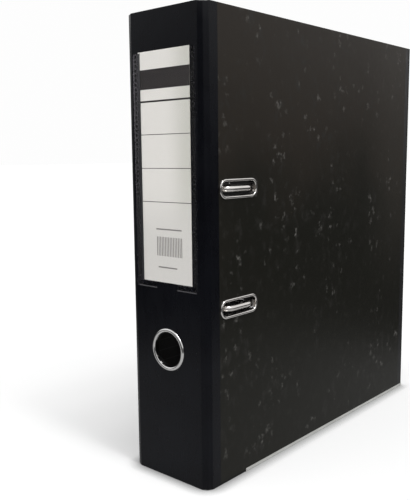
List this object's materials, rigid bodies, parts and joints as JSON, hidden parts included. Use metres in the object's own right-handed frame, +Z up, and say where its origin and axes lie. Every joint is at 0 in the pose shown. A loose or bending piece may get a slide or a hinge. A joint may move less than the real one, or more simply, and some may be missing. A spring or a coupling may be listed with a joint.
{
  "type": "lever arch file",
  "caption": "Upright A4 lever arch file with hinged covers, a lever-worked arch mechanism, a sliding compressor bar, a finger ring and a spine label in a clear pocket.",
  "frame": {"origin": "middle of the closed file's foot print, on the surface that it stands on", "axes": "+Z up, +X through the thickness towards the front cover, -Y out of the spine's outer face, +Y towards the covers' free edges"},
  "size_m": [0.0739, 0.2862, 0.318],
  "materials": {
    "grey_board": "pressed grey board",
    "cloud_paper": "mottled black paper, dull satin",
    "spine_foil": "smooth black foil, satin",
    "lining_paper": "matt dark grey paper with faint rules",
    "nickel": "bright nickel",
    "chrome": "polished chrome",
    "zinc_steel": "zinc-plated steel",
    "clear_film": "clear soft film",
    "white_card": "matt white card"
  },
  "bodies": {
    "back_cover": {"back_board": "grey_board", "back_cover_paper": "cloud_paper", "back_cloth_strip": "spine_foil", "back_lining": "lining_paper", "back_edge_rail": "nickel", "rear_hinge_cloth": "spine_foil", "base_plate": "zinc_steel", "mechanism_rivets": "nickel", "post_upper": "chrome", "post_lower": "chrome"},
    "spine": {"spine_board": "grey_board", "spine_cloth": "spine_foil", "spine_lining": "lining_paper", "finger_ring": "chrome", "label_pocket": "clear_film", "front_hinge_cloth": "spine_foil"},
    "front_cover": {"front_board": "grey_board", "front_cover_paper": "cloud_paper", "front_cloth_strip": "spine_foil", "front_lining": "lining_paper", "front_edge_rail": "nickel", "slotted_eyelet_upper": "chrome", "slotted_eyelet_lower": "chrome"},
    "label": {"label_card": "white_card"},
    "arches": {"arch_bow": "chrome"},
    "lever": {"lever": "nickel", "lever_pin": "zinc_steel", "roller_pin": "zinc_steel"},
    "roller": {"roller": "zinc_steel"},
    "compressor": {"compressor_bar": "nickel", "compressor_clip_upper": "zinc_steel", "compressor_clip_lower": "zinc_steel"}
  },
  "joints": [
    {"name": "spine_hinge", "type": "hinge", "parent": "back_cover", "child": "spine", "pos_m": [-0.0338, -0.1413, 0.159], "axis": [0, 0, -1], "range_deg": [0, 90], "deforming": ["rear_hinge_cloth"]},
    {"name": "cover_hinge", "type": "hinge", "parent": "spine", "child": "front_cover", "pos_m": [0.0338, -0.1413, 0.159], "axis": [0, 0, -1], "range_deg": [0, 90], "deforming": ["front_hinge_cloth"]},
    {"name": "arch_swing", "type": "hinge", "parent": "back_cover", "child": "arches", "pos_m": [-0.0269, -0.1225, 0.1615], "axis": [0, 0, -1], "range_deg": [0, 50]},
    {"name": "lever_lift", "type": "hinge", "parent": "back_cover", "child": "lever", "pos_m": [-0.0239, -0.0995, 0.1615], "axis": [0, 0, 1], "range_deg": [0, 85]},
    {"name": "roller_spin", "type": "hinge", "parent": "lever", "child": "roller", "pos_m": [-0.02125, -0.1105, 0.1615], "axis": [0, 0, 1], "continuous": true},
    {"name": "compressor_slide", "type": "slide", "parent": "back_cover", "child": "compressor", "axis": [1, 0, 0], "range_m": [0, 0.036]},
    {"name": "label_slide", "type": "slide", "parent": "spine", "child": "label", "axis": [0, 0, 1], "range_m": [0, 0.16]}
  ],
  "couplings": [
    {"joint": "spine_hinge", "follows": "cover_hinge", "ratio": 1},
    {"joint": "lever_lift", "follows": "cover_hinge", "ratio": 0.944},
    {"joint": "arch_swing", "follows": "cover_hinge", "ratio": 0.555}
  ]
}
